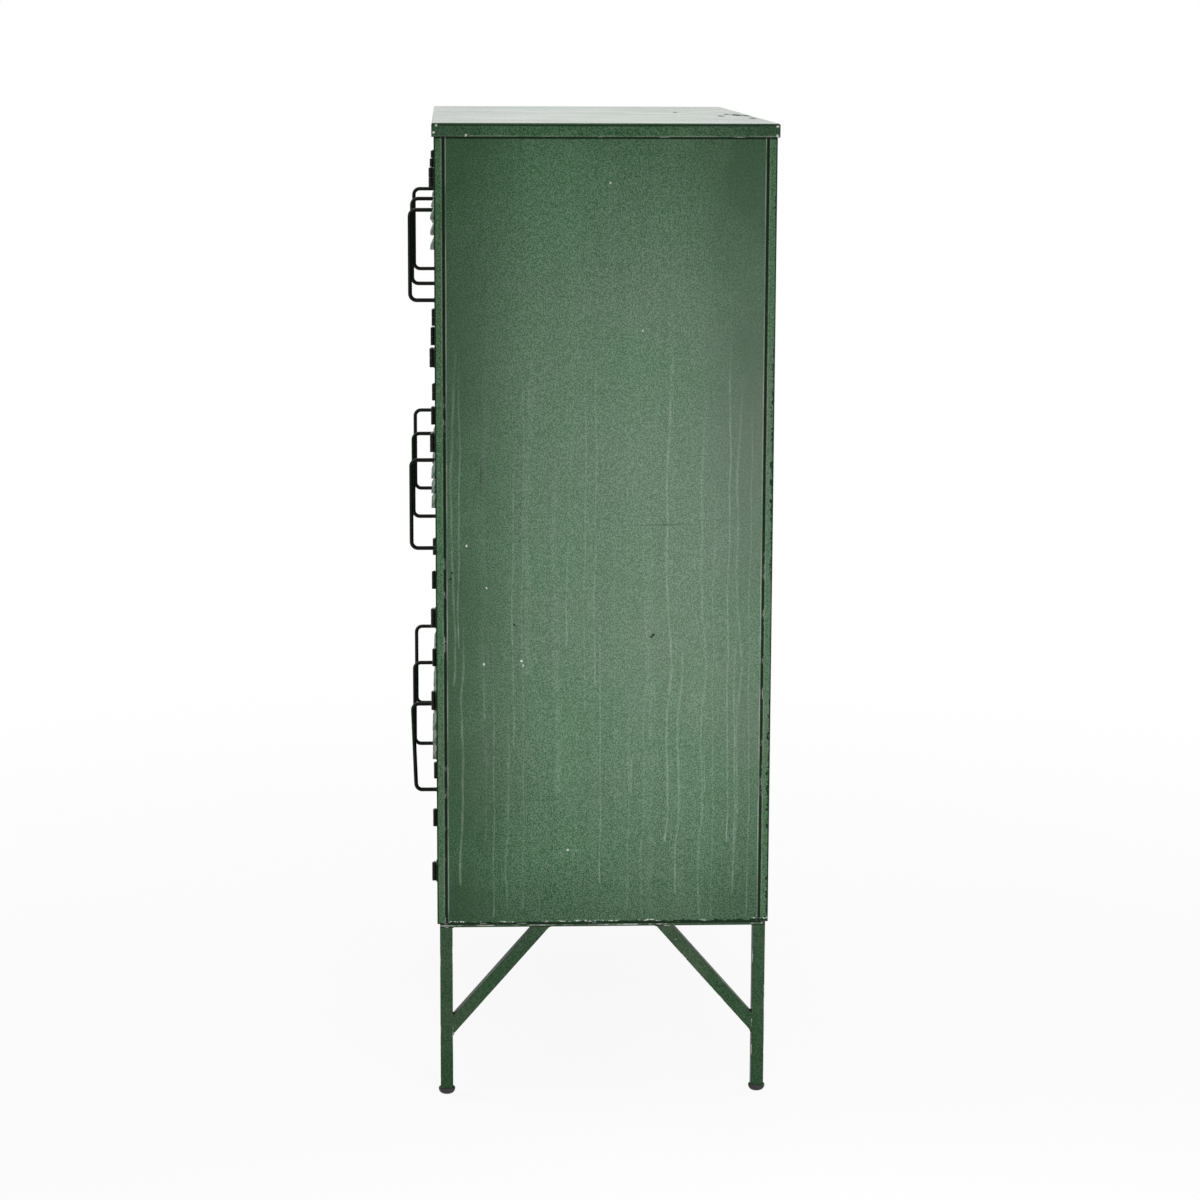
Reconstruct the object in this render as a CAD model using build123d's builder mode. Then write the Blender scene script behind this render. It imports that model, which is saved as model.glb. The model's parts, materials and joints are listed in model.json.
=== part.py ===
from build123d import *
from math import cos, pi, sin
import os

os.makedirs("parts", exist_ok=True)

# Carcass
body_width = 825.0
body_depth = 395.0
body_height = 943.8
sheet = 1.2
inside_bend = 0.8
side_flange = 10.0  # strip of the corner posts and of the back that wraps onto each side
seam = 0.8  # open joint between such a strip and the side panel
side_lap = 8.0  # how far the side panel runs on behind a strip

# Lid
lid_skirt = 16.0
lid_clearance = 1.3

# Front grid of door openings
columns = ("left", "centre", "right")
rows = ("bottom", "middle", "top")
post_width = 20.0
mullion_width = 20.0
jamb_depth = 30.0
shelf_lip = 20.0
floor_lip = 20.0
top_rail_height = 22.0
top_rail_return = 12.0

# Doors
door_gap = 1.5
door_depth = 14.0
door_hem = 12.0
door_edge_break = 1.0

# Louvres pressed out of each door
louvre_count = 3
louvre_width = 100.0
louvre_pitch = 17.7
louvre_height = 12.0
louvre_reach = 5.0
louvre_end_slope = 3.0
louvre_rise = 16.0  # lowest lip above the middle of the door

# Wire handles
handle_span = 110.0  # between the middles of the two legs
handle_reach = 33.0
handle_wire_radius = 2.5
wire_sides = 8
handle_bend = 8.0
handle_inset = 29.0  # from the free edge of the door

# Loose-joint hinges
hinge_offset = 104.0  # from the middle of the door
hinge_length = 22.0
knuckle_radius = 2.8
knuckle_sides = 8
knuckle_gap = 0.3
axis_out = 3.2  # hinge axis in front of the doors
pin_radius = 1.5
pin_clearance = 0.05
pin_proud = 1.2
leaf_thickness = 1.2
post_leaf_width = 10.0
door_leaf_width = 14.0

# Magnetic catches
magnet_width = 10.0
magnet_depth = 12.0
magnet_height = 40.0
magnet_chamfer = 1.5
magnet_air_gap = 0.3

# Base frame
base_inset = 3.0
bar_width = 15.0
bar_thickness = 5.0
leg_length = 200.0
tube_wall = 1.5
brace_run = 96.0
brace_drop = 110.0

# Glides
glide_height = 8.0
glide_radius = 10.0
glide_sole_radius = 4.0
glide_crown = 6.5
glide_sides = 16
crown_steps = 3
plug_length = 15.0
plug_clearance = 0.2

# Heights
carcass_bottom = glide_height + leg_length + bar_thickness
carcass_top = carcass_bottom + body_height
rail_bottom = carcass_top - top_rail_height
opening_height = (
    body_height - floor_lip - top_rail_height - (len(rows) - 1) * shelf_lip
) / len(rows)

# Depths: the handles and the lid's rear edge are as far from the middle
lid_overhang = lid_clearance + sheet
front = (handle_reach - body_depth - lid_overhang) / 2
rear = front + body_depth
middle = (front + rear) / 2
rear_inside = rear - sheet
jamb_rear = front + jamb_depth

# Widths
half_width = body_width / 2
post_inside = half_width - post_width
side_inside = half_width - 2 * sheet
opening_width = (2 * post_inside - (len(columns) - 1) * mullion_width) / len(columns)
outside_bend = inside_bend + sheet


def opening_left(column):
    """The left edge of a column of doors."""
    return -post_inside + column * (opening_width + mullion_width)


def opening_right(column):
    """The right edge of a column of doors."""
    return opening_left(column) + opening_width


def opening_bottom(row):
    """The lower edge of a row of doors."""
    return carcass_bottom + floor_lip + row * (opening_height + shelf_lip)


def write(builder, name):
    """Labels a finished piece and writes its file."""
    builder.part.label = name
    export_step(builder.part, f"parts/{name}.step")


def upright(points, bottom, height, bend=outside_bend):
    """A sheet folded along a line seen from above, thick on the left of the line, and standing up."""
    with BuildPart() as piece:
        with BuildSketch(Plane.XY.offset(bottom)):
            with BuildLine():
                if bend:
                    FilletPolyline(*points, radius=bend)
                else:
                    Polyline(*points)
                offset(amount=sheet, side=Side.LEFT)
            make_face()
        extrude(amount=height)
    return piece


def mirrored(builder):
    """The left-hand twin of a right-hand piece."""
    with BuildPart() as twin:
        mirror(builder.part, about=Plane.YZ)
    return twin


def tray(mouth_left, mouth_right, left, right, top, lip):
    """An upturned tray: narrow between the door jambs, wider behind them, flanges folded down all round."""
    with BuildPart() as piece:
        with BuildSketch(Plane.XY.offset(top - lip)):
            with Locations(((mouth_left + mouth_right) / 2, (front + jamb_rear) / 2)):
                Rectangle(mouth_right - mouth_left, jamb_rear - front)
            with Locations(((left + right) / 2, (jamb_rear + rear_inside) / 2)):
                Rectangle(right - left, rear_inside - jamb_rear)
        extrude(amount=lip)
        underside = piece.faces().sort_by(Axis.Z)[0]
        offset(amount=-sheet, openings=underside, kind=Kind.INTERSECTION)
    return piece


def cap_block(margin, height):
    """A block over the top of the carcass, standing out by a margin that also rounds its top edges."""
    with BuildPart() as block:
        with BuildSketch(Plane.XY.offset(carcass_top + sheet - lid_skirt)):
            with Locations((0, middle)):
                Rectangle(body_width + 2 * margin, body_depth + 2 * margin)
        extrude(amount=height)
        fillet(block.faces().sort_by(Axis.Z)[-1].edges(), radius=margin)
    return block


# Lid: a shallow cap, bent over round its top edges
lid_outside = cap_block(lid_overhang, lid_skirt)
lid_inside = cap_block(lid_clearance, lid_skirt - sheet)
with BuildPart() as lid:
    add(lid_outside.part)
    add(lid_inside.part, mode=Mode.SUBTRACT)
write(lid, "lid")

# Corner posts: a door jamb, a front face and a strip on the side
post_right = upright(
    [
        (post_inside, jamb_rear),
        (post_inside, front),
        (half_width, front),
        (half_width, front + side_flange),
    ],
    carcass_bottom,
    body_height,
)
write(post_right, "front_post_right")
write(mirrored(post_right), "front_post_left")

# Side panels: joggled in behind the strips of the post and of the back
lap_face = half_width - sheet
panel_front = front + side_flange + seam
panel_rear = rear - side_flange - seam
side_right = upright(
    [
        (lap_face, front + side_flange - side_lap),
        (lap_face, panel_front),
        (half_width, panel_front + sheet),
        (half_width, panel_rear - sheet),
        (lap_face, panel_rear),
        (lap_face, rear - side_flange + side_lap),
    ],
    carcass_bottom,
    body_height,
    bend=None,
)
write(side_right, "side_panel_right")
write(mirrored(side_right), "side_panel_left")

# Back panel, with a strip wrapped onto each side
back = upright(
    [
        (half_width, rear - side_flange),
        (half_width, rear),
        (-half_width, rear),
        (-half_width, rear - side_flange),
    ],
    carcass_bottom,
    body_height,
)
write(back, "back_panel")

# Top rail: a channel between the posts, with a deep top flange under the lid
with BuildPart() as top_rail:
    with BuildSketch(Plane.YZ.offset(-post_inside)):
        with BuildLine():
            FilletPolyline(
                (jamb_rear, carcass_top),
                (front, carcass_top),
                (front, rail_bottom),
                (front + top_rail_return, rail_bottom),
                radius=outside_bend,
            )
            offset(amount=sheet, side=Side.LEFT)
        make_face()
    extrude(amount=2 * post_inside)
write(top_rail, "top_rail")

# Floor: one tray across all columns, with its lip below the bottom doors
floor_top = carcass_bottom + floor_lip
floor_pan = tray(
    -post_inside, post_inside, -side_inside, side_inside, floor_top, floor_lip
)
write(floor_pan, "floor_pan")

# Partitions: one sheet folded into a mullion, its left jamb and a wall, notched under the top rail
for column, name in enumerate(("left", "right")):
    mullion_left = opening_right(column)
    mullion_right = mullion_left + mullion_width
    folded_wall = upright(
        [
            (mullion_left, jamb_rear),
            (mullion_left, front),
            (mullion_right, front),
            (mullion_right, rear_inside),
        ],
        floor_top,
        carcass_top - floor_top,
    )
    with BuildPart() as partition:
        add(folded_wall.part)
        with BuildSketch(Plane.XY.offset(rail_bottom)):
            with Locations(((mullion_left + mullion_right) / 2, (front + jamb_rear) / 2)):
                Rectangle(mullion_width, jamb_depth)
        extrude(amount=top_rail_height, mode=Mode.SUBTRACT)
    write(partition, f"partition_{name}")

# Shelves: one tray for each column, with its lip between two rows of doors
for row, level in enumerate(("lower", "upper")):
    for column, name in enumerate(columns):
        mouth_left = opening_left(column)
        mouth_right = opening_right(column)
        first = column == 0
        last = column == len(columns) - 1
        shelf = tray(
            mouth_left,
            mouth_right,
            -side_inside if first else mouth_left,
            side_inside if last else mouth_right + mullion_width - sheet,
            opening_bottom(row + 1),
            shelf_lip,
        )
        write(shelf, f"shelf_{level}_{name}")

# Base frame: side bars over the full depth, front and rear bars between them
base_half_width = half_width - base_inset
base_front = front + base_inset
base_rear = rear - base_inset
bar_bottom = carcass_bottom - bar_thickness
bar_middle = base_half_width - bar_width / 2
with BuildPart() as bar_right:
    with BuildSketch(Plane.XY.offset(bar_bottom)):
        with Locations((bar_middle, middle)):
            Rectangle(bar_width, base_rear - base_front)
    extrude(amount=bar_thickness)
write(bar_right, "base_bar_right")
write(mirrored(bar_right), "base_bar_left")
for name, bar_y in (
    ("front", base_front + bar_width / 2),
    ("rear", base_rear - bar_width / 2),
):
    with BuildPart() as cross_bar:
        with BuildSketch(Plane.XY.offset(bar_bottom)):
            with Locations((0, bar_y)):
                Rectangle(2 * (base_half_width - bar_width), bar_width)
        extrude(amount=bar_thickness)
    write(cross_bar, f"base_bar_{name}")

# Legs and braces of square tube, the braces mitred to the leg and to the side bar
brace_length = (brace_run**2 + brace_drop**2) ** 0.5
across_run = brace_length / brace_drop  # length along the bar for each unit across the tube
across_drop = brace_length / brace_run  # length down the leg for each unit across the tube
bore = bar_width - 2 * tube_wall
for name, leg_y, inward in (
    ("front", base_front + bar_width / 2, 1),
    ("rear", base_rear - bar_width / 2, -1),
):
    with BuildPart() as leg:
        with BuildSketch(Plane.XY.offset(glide_height)):
            with Locations((bar_middle, leg_y)):
                Rectangle(bar_width, bar_width)
                Rectangle(bore, bore, mode=Mode.SUBTRACT)
        extrude(amount=leg_length)
    write(leg, f"leg_{name}_right")
    write(mirrored(leg), f"leg_{name}_left")

    leg_face = leg_y + inward * bar_width / 2
    with BuildPart() as brace:
        for near, far, thickness, mode in (
            (0, bar_width, bar_width, Mode.ADD),
            (tube_wall, bar_width - tube_wall, bore, Mode.SUBTRACT),
        ):
            with BuildSketch(Plane.YZ.offset(bar_middle)):
                with BuildLine():
                    Polyline(
                        (leg_face, bar_bottom - brace_drop - near * across_drop),
                        (leg_face + inward * (brace_run + near * across_run), bar_bottom),
                        (leg_face + inward * (brace_run + far * across_run), bar_bottom),
                        (leg_face, bar_bottom - brace_drop - far * across_drop),
                        close=True,
                    )
                make_face()
            extrude(amount=thickness / 2, both=True, mode=mode)
    write(brace, f"brace_{name}_right")
    write(mirrored(brace), f"brace_{name}_left")

# Glides: domed feet plugged into the legs
plug_width = bore - 2 * plug_clearance
with BuildPart() as glide:
    for step in range(crown_steps + 1):
        angle = pi / 2 * step / crown_steps
        with BuildSketch(Plane.XY.offset(glide_crown * (1 - cos(angle)))):
            spread = (glide_radius - glide_sole_radius) * sin(angle)
            RegularPolygon(glide_sole_radius + spread, glide_sides)
    loft(ruled=True)
    with BuildSketch(Plane.XY.offset(glide_crown)):
        RegularPolygon(glide_radius, glide_sides)
    extrude(amount=glide_height - glide_crown)
    with BuildSketch(Plane.XY.offset(glide_height)):
        Rectangle(plug_width, plug_width)
    extrude(amount=plug_length)
with BuildPart() as glides:
    with Locations((0, middle)):
        with GridLocations(
            2 * bar_middle, base_rear - base_front - bar_width, 2, 2
        ):
            add(glide.part)
write(glides, "glides")

# One door, with its origin on the hinge axis at half height
door_width = opening_width - 2 * door_gap
door_height = opening_height - 2 * door_gap
door_right = -door_gap / 2
door_left = door_right - door_width
door_middle = (door_left + door_right) / 2
door_face = axis_out
door_back = door_face + door_depth

# A louvre: a sloping hood with closed ends, open below, and the slot behind it
hood_slant = (louvre_height**2 + louvre_reach**2) ** 0.5
hood_wall = sheet * hood_slant / louvre_height
slot_height = (louvre_reach - hood_wall + sheet) * louvre_height / louvre_reach
with BuildPart() as hood:
    with BuildSketch(Plane.YZ):
        with BuildLine():
            Polyline(
                (door_face, louvre_height),
                (door_face - louvre_reach, 0),
                (door_face, 0),
                close=True,
            )
        make_face()
    extrude(amount=louvre_width / 2, both=True)
    slope = hood.faces().sort_by(Axis.Z)[-1]
    chamfer(slope.edges().filter_by(Plane.YZ), length=louvre_end_slope)
with BuildPart() as slot:
    with BuildSketch(Plane.YZ):
        with BuildLine():
            Polyline(
                (door_face - louvre_reach + hood_wall, 0),
                (door_face + sheet, 0),
                (door_face + sheet, slot_height),
                close=True,
            )
        make_face()
    extrude(amount=louvre_width / 2 - louvre_end_slope - sheet, both=True)
louvre_places = [
    (door_middle, 0, louvre_rise + step * louvre_pitch) for step in range(louvre_count)
]

# The door is a pan, hemmed round its back
with BuildPart() as door_pan:
    with BuildSketch(Plane.XZ.offset(-door_back)):
        with Locations((door_middle, 0)):
            Rectangle(door_width, door_height)
    extrude(amount=door_depth)
    chamfer(door_pan.faces().sort_by(Axis.Y)[0].edges(), length=door_edge_break)
    with BuildSketch(Plane.XZ.offset(sheet - door_back)):
        with Locations((door_middle, 0)):
            Rectangle(door_width - 2 * sheet, door_height - 2 * sheet)
    extrude(amount=door_depth - 2 * sheet, mode=Mode.SUBTRACT)
    with BuildSketch(Plane.XZ.offset(-door_back)):
        with Locations((door_middle, 0)):
            Rectangle(door_width - 2 * door_hem, door_height - 2 * door_hem)
    extrude(amount=sheet, mode=Mode.SUBTRACT)
    with Locations(*louvre_places):
        add(hood.part)
    with Locations(*louvre_places):
        add(slot.part, mode=Mode.SUBTRACT)

# A handle: round wire bent twice, its two legs butted on the door
handle_x = door_left + handle_inset
handle_grip = door_face - handle_reach + handle_wire_radius
with BuildPart() as wire_handle:
    with BuildLine():
        bent_wire = FilletPolyline(
            (handle_x, door_face, -handle_span / 2),
            (handle_x, handle_grip, -handle_span / 2),
            (handle_x, handle_grip, handle_span / 2),
            (handle_x, door_face, handle_span / 2),
            radius=handle_bend,
        )
    with BuildSketch(Plane(origin=bent_wire @ 0, z_dir=bent_wire % 0)):
        RegularPolygon(
            handle_wire_radius, wire_sides, major_radius=False, rotation=180 / wire_sides
        )
    sweep()

# Hinge leaves: the post's carries the lower knuckle and the door's the upper one
leaf_edge = knuckle_radius + knuckle_gap
knuckle_length = (hinge_length - knuckle_gap) / 2


def hinge_leaf(side, width, knuckle_bottom):
    """A leaf of a hinge: a plate flat on the front, a tongue, and a bored knuckle round the axis."""
    with BuildPart() as piece:
        with BuildSketch(Plane.XZ.offset(-door_face)):
            with Locations((side * (leaf_edge + width) / 2, 0)):
                Rectangle(width - leaf_edge, hinge_length)
            with Locations((side * leaf_edge / 2, knuckle_bottom + knuckle_length / 2)):
                Rectangle(leaf_edge, knuckle_length)
        extrude(amount=leaf_thickness)
        for radius, mode in (
            (knuckle_radius, Mode.ADD),
            (pin_radius + pin_clearance, Mode.SUBTRACT),
        ):
            with BuildSketch(Plane.XY.offset(knuckle_bottom)):
                RegularPolygon(
                    radius, knuckle_sides, major_radius=False, rotation=180 / knuckle_sides
                )
            extrude(amount=knuckle_length, mode=mode)
    return piece


post_leaf = hinge_leaf(1, post_leaf_width, -hinge_length / 2)
door_leaf = hinge_leaf(-1, door_leaf_width, knuckle_gap / 2)
with BuildPart() as pin:
    with BuildSketch(Plane.XY.offset(-hinge_length / 2)):
        Circle(pin_radius)
    extrude(amount=hinge_length + pin_proud)

# A magnetic catch, on the jamb at the free edge of a door and just behind it
with BuildPart() as magnet:
    with BuildSketch(Plane.XZ.offset(-(door_back + magnet_air_gap + magnet_depth))):
        with Locations((door_left - door_gap + magnet_width / 2, 0)):
            Rectangle(magnet_width, magnet_height)
    extrude(amount=magnet_depth)
    free_side = magnet.faces().sort_by(Axis.X)[-1]
    chamfer(free_side.edges(), length=magnet_chamfer)

# Every door in its opening
hinge_axes = {}
for row, level in enumerate(rows):
    for column, name in enumerate(columns):
        hinge_axes[f"{level}_{name}"] = (
            opening_right(column) - door_gap / 2,
            front - axis_out,
            opening_bottom(row) + opening_height / 2,
        )
for name, axis_point in hinge_axes.items():
    with BuildPart() as door:
        with Locations(axis_point):
            add(door_pan.part)
    write(door, f"door_{name}")
    with BuildPart() as handle:
        with Locations(axis_point):
            add(wire_handle.part)
    write(handle, f"handle_{name}")
    with BuildPart() as door_leaves:
        with Locations(axis_point):
            with Locations((0, 0, -hinge_offset), (0, 0, hinge_offset)):
                add(door_leaf.part)
    write(door_leaves, f"hinge_leaves_{name}")

# The fixed halves of all hinges, their pins, and the catches
for name, single, heights in (
    ("hinge_post_leaves", post_leaf, (-hinge_offset, hinge_offset)),
    ("hinge_pins", pin, (-hinge_offset, hinge_offset)),
    ("door_magnets", magnet, (0,)),
):
    with BuildPart() as group:
        with Locations(*hinge_axes.values()):
            with Locations(*[(0, 0, height) for height in heights]):
                add(single.part)
    write(group, name)
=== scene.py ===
import json
import math

import bmesh
import bpy
import numpy as np
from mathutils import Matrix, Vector


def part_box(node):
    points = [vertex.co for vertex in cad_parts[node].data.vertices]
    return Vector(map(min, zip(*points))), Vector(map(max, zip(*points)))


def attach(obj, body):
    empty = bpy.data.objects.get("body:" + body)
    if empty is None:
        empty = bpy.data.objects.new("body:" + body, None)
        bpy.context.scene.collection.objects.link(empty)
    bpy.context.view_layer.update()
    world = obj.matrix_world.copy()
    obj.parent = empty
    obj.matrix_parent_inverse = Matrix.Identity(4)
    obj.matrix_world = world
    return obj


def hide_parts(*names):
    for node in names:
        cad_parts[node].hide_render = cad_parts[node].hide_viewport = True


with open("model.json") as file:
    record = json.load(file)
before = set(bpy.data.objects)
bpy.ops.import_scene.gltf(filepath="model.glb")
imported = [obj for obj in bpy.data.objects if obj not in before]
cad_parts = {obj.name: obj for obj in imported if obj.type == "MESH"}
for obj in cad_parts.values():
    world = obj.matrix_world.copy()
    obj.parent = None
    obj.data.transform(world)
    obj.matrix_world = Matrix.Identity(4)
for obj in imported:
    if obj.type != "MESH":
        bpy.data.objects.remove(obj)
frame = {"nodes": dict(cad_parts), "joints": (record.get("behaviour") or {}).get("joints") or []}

bl_info = {
    "name": "Steel locker cabinet",
    "version": (1, 0, 0),
    "blender": (4, 5, 0),
    "location": "3D View > Sidebar > Cabinet",
    "description": "Wire handles, rolled hinges, welds and aged green enamel for a nine-door locker cabinet",
    "category": "Object",
}

MM = 0.001
TURN = 2 * math.pi
QUARTER = TURN / 4
SENSOR_WIDTH = 36.0
WHITE = (1.0, 1.0, 1.0)

# How finely the round pieces are divided
WIRE_SIDES = 20
BEND_STEPS = 9
LEG_STEPS = 12
GRIP_STEPS = 16
SCREW_SIDES = 36
DOME_STEPS = 11
GLIDE_SIDES = 40
CROWN_STEPS = 12
RIM_STEPS = 6
BEAD_SIDES = 10
BEAD_RINGS = 49
ROLL_STEPS = 28
FLOOR_SIDES = 64

# What the frame says of the cabinet
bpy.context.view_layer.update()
HINGES = {joint["child"]: np.array(joint["pos_m"]) for joint in frame["joints"]}
CORNERS = [(end, side) for end in ("front", "rear") for side in ("left", "right")]
FRONT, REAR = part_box("front_post_right")[0].y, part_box("back_panel")[1].y
MIDDLE, HALF_DEPTH = (FRONT + REAR) / 2, (REAR - FRONT) / 2
SIDE_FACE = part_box("side_panel_right")[1].x
CARCASS_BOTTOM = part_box("side_panel_right")[0].z
SKIRT_LOW, LID_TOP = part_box("lid")[0].z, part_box("lid")[1].z
LID_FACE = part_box("lid")[1].x
BAR_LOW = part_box("base_bar_right")[0].z
LEG_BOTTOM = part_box("leg_front_right")[0].z
WIRE_RADIUS = (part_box("handle_top_right")[1].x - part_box("handle_top_right")[0].x) / 2
HANDLE_X, _, HANDLE_Z = (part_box("handle_top_right")[0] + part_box("handle_top_right")[1]) / 2
DOOR_X = (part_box("door_top_right")[0].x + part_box("door_top_right")[1].x) / 2
COLUMN_PITCH = HINGES["top_right_door"][0] - HINGES["top_centre_door"][0]
ROW_PITCH = HINGES["top_right_door"][2] - HINGES["middle_right_door"][2]

# Single marks that the photograph shows: place and radius, in metres
PALE_CHIPS = [
    (SIDE_FACE, y, z, 1.3 * MM)
    for y, z in (
        (0.020, 1.090), (-0.146, 0.669), (-0.126, 0.528), (-0.082, 0.532), (-0.080, 0.526), (-0.027, 0.303),
    )
]
DARK_CHIPS = [
    (SIDE_FACE, y, z, radius * MM)
    for y, z, radius in (
        (0.071, 0.560, 1.5), (0.073, 0.562, 1.5), (-0.163, 0.637, 1.2), (-0.165, 0.630, 1.4),
        (-0.160, 0.622, 1.1), (-0.090, 0.575, 1.3), (0.161, 0.638, 0.9),
    )
]
RIM_CHIPS = [
    (LID_FACE, y, z, 1.4 * MM)
    for y, z in ((-0.179, 1.155), (-0.182, 1.147), (-0.145, 1.144), (0.212, 1.144), (0.212, 1.155))
]
LID_RUST = [
    (x, y, LID_TOP, radius)
    for x, y, radius in (
        (0.087, 0.174, 0.004), (0.010, 0.188, 0.004), (0.040, 0.198, 0.007), (0.068, 0.206, 0.005),
        (0.190, 0.204, 0.004), (-0.090, 0.129, 0.003),
    )
]
RUST_STRETCH = 6.0

# Scratches of the right side: place along the depth, height and half length, in metres
UPRIGHT_SCRATCH = (-0.129, 0.755, 0.045)
LEVEL_SCRATCH = (0.087, 0.693, 0.055)
SCRATCH_HALF = 1.3 * MM
SCRATCH_WANDER = 4.0 * MM

# Water runs, in three kinds: spacing and width of the lines in metres, seed, and strength
RUNS = ((0.013, 0.0013, 3.0, 1.0), (0.021, 0.0019, 11.0, 1.0), (0.034, 0.0060, 29.0, 0.35))
# Heights between which the runs start and end, and how far they fade in and gather, in metres
RUN_TOPS = (0.45, 0.95)
RUN_ENDS = (0.215, 0.55)
RUN_FADE = 0.12
RUN_DROP = 0.06

# Relief of the enamel, in metres
PEEL_HEIGHT = 0.07 * MM
RUN_HEIGHT = 0.03 * MM
CHIP_DEPTH = 0.10 * MM
FLAKE_HEIGHT = 0.8 * MM
SHEET_WAVE = 3.0 * MM

# Grain of the enamel: features to the metre, and how far it shifts and scales the colour
PEEL = 700.0
GRAIN_SHIFT = 0.86
GRAIN_SCALE = 0.12

# Scattered chips: points to the metre, share that is chipped at most, reach, and share that is dark
CHIP_POINTS = 34.0
CHIP_SHARE = 0.12
CHIP_REACH = 0.055
OLD_CHIPS = 0.45


def door_key(body):
    """The row and column of a door, from the name of its body."""
    return body.removesuffix("_door")


# Settings

def length(name, description, default):
    """A length that a user may change, in metres."""
    return bpy.props.FloatProperty(
        name=name, description=description, default=default, min=0.0, unit="LENGTH", precision=5
    )


def share(name, description, default):
    """A plain number between nothing and all."""
    return bpy.props.FloatProperty(
        name=name, description=description, default=default, min=0.0, max=1.0, subtype="FACTOR"
    )


def colour(name, description, default):
    """A paint or dirt colour, as linear red, green and blue."""
    return bpy.props.FloatVectorProperty(
        name=name, description=description, default=default, size=3, min=0.0, max=1.0, subtype="COLOR"
    )


class PaintSettings(bpy.types.PropertyGroup):
    """Colours of the enamel and of what age has done to it."""

    panel_green: colour("Panel green", "Enamel on the large side sheets", (0.0433, 0.1128, 0.0523))
    trim_green: colour("Trim green", "Enamel on the lid, the posts and the doors", (0.032, 0.095, 0.039))
    frame_green: colour("Frame green", "Enamel on the legs and braces", (0.0142, 0.0482, 0.0172))
    dark_enamel: colour("Dark enamel", "Handles and hinges", (0.008, 0.012, 0.008))
    # Painted shade: the colour the sides turn towards their borders, where the sheen falls off
    border_shade_green: colour("Deep green", "Less faded enamel at the sides' borders", (0.005, 0.042, 0.008))
    run_film: colour("Water runs", "Pale film left by water on the sides", (0.25, 0.33, 0.26))
    stain: colour("Stain", "Faint brown bloom in the paint", (0.138, 0.140, 0.102))
    # This undercoat colour also lays painted highlight, beside the side joints and on the louvre tips
    primer_and_highlight: colour("Primer", "Pale undercoat in fresh chips", (0.72, 0.74, 0.70))
    rust: colour("Rust", "Old chips gone dark", (0.033, 0.023, 0.015))
    # This colour lays painted shade as well as grime and rust: the joints, the outer bends, the lines under
    # the lid and above the base bars, the louvre lips and the lid's bend take it
    dirt_and_shade: colour("Dirt", "Old grime in joints and over bends", (0.0035, 0.016, 0.006))
    pin_steel: colour("Pin steel", "Bare hinge pins", (0.35, 0.34, 0.32))
    black_plastic: colour("Black plastic", "Glides and catch housings", (0.016, 0.018, 0.016))


class WearSettings(bpy.types.PropertyGroup):
    """Where the sheets are folded and joined, how far age has crept there, and where shade is painted under
    and on the lid and towards the borders of the sides.
    """

    strip: length("Corner strip", "Width of the folded strips beside the side panels", 10.0 * MM)
    seam: length("Seam", "Open joint between a strip and a side panel", 0.8 * MM)
    sheet: length("Sheet", "Thickness of the sheets", 1.2 * MM)
    rust_climb: length("Rust climb", "How far rust climbs from the lower edge at most", 3.0 * MM)
    flake: length("Flakes", "How far paint has flaked off the rear bends at most", 3.2 * MM)
    # Painted shadow: the line under the lid is laid dark to this height
    lid_shade: length("Lid dirt", "Height of the dirty line under the lid", 2.6 * MM)
    # Painted dark reflection: the lid's bend is laid darkest this far below its top
    lid_bend: length("Lid bend", "How far below the lid's top its bend is darkest", 2.6 * MM)
    hem_line: length("Hem line", "How far above the skirt's lower edge its paint is worn pale", 1.3 * MM)
    bar_edge: length("Bar edge", "How far below the carcass the base bars are knocked", 3.0 * MM)
    hand_reach: length("Hand grime", "How far the grime of hands spreads beside a handle", 48.0 * MM)
    louvre_half: length("Half louvre", "Half the width of a louvre", 50.0 * MM)
    # Painted shade: how far the darker borders reach into the sides, and how far the darkening towards the
    # bottom rises
    grime: length("Border", "How far the sides' borders are grimy or less faded", 95.0 * MM)
    # Painted shade: how much darker and deeper green the sides are laid at the front, the rear, under the
    # lid and at the upper rear corner, and at most
    front_border: share("Front border", "How much less faded the sides are at the front", 0.68)
    rear_border: share("Rear border", "How much less faded the sides are at the rear", 0.30)
    lid_border: share("Lid border", "How much less faded the sides are under the lid", 0.20)
    corner_border: share("Rear corner", "How much less faded the upper rear corners are", 0.56)
    border_limit: share("Border limit", "How much less faded the borders are at most", 0.8)
    # How much darker the sides grow towards the bottom
    low_darkening: share("Low film", "How dirty the sides' lower border is", 0.28)
    # How much darker the lid grows towards its front and rear
    lid_end_darkening: share("Lid film", "How dirty the lid's front and rear borders are", 0.4)


class HandleSettings(bpy.types.PropertyGroup):
    """The wire handles and the screws that hold them."""

    bend: length("Bend", "Radius of the wire's bends, at its middle line", 8.0 * MM)
    collar: length("Collar", "How far the weld collar spreads at the door", 1.0 * MM)
    lean: length("Lean", "How far the lowest right handle is pushed in at its lower end", 4.0 * MM)
    screw_radius: length("Screw head", "Radius of the screw heads behind the doors", 4.2 * MM)
    screw_height: length("Screw height", "Height of the screw heads", 2.4 * MM)
    door_sheet: length("Door sheet", "Thickness of the door's front sheet", 1.2 * MM)


class HingeSettings(bpy.types.PropertyGroup):
    """The rolled hinge leaves."""

    leaf_length: length("Leaf length", "Height of a hinge", 22.0 * MM)
    leaf_sheet: length("Leaf sheet", "Thickness of a leaf", 1.2 * MM)
    knuckle_radius: length("Knuckle", "Outer radius of the rolled knuckle", 2.8 * MM)
    knuckle_gap: length("Knuckle gap", "Clearance between two knuckles", 0.3 * MM)
    corner: length("Corner", "Radius of a leaf's free corners", 2.2 * MM)


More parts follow.
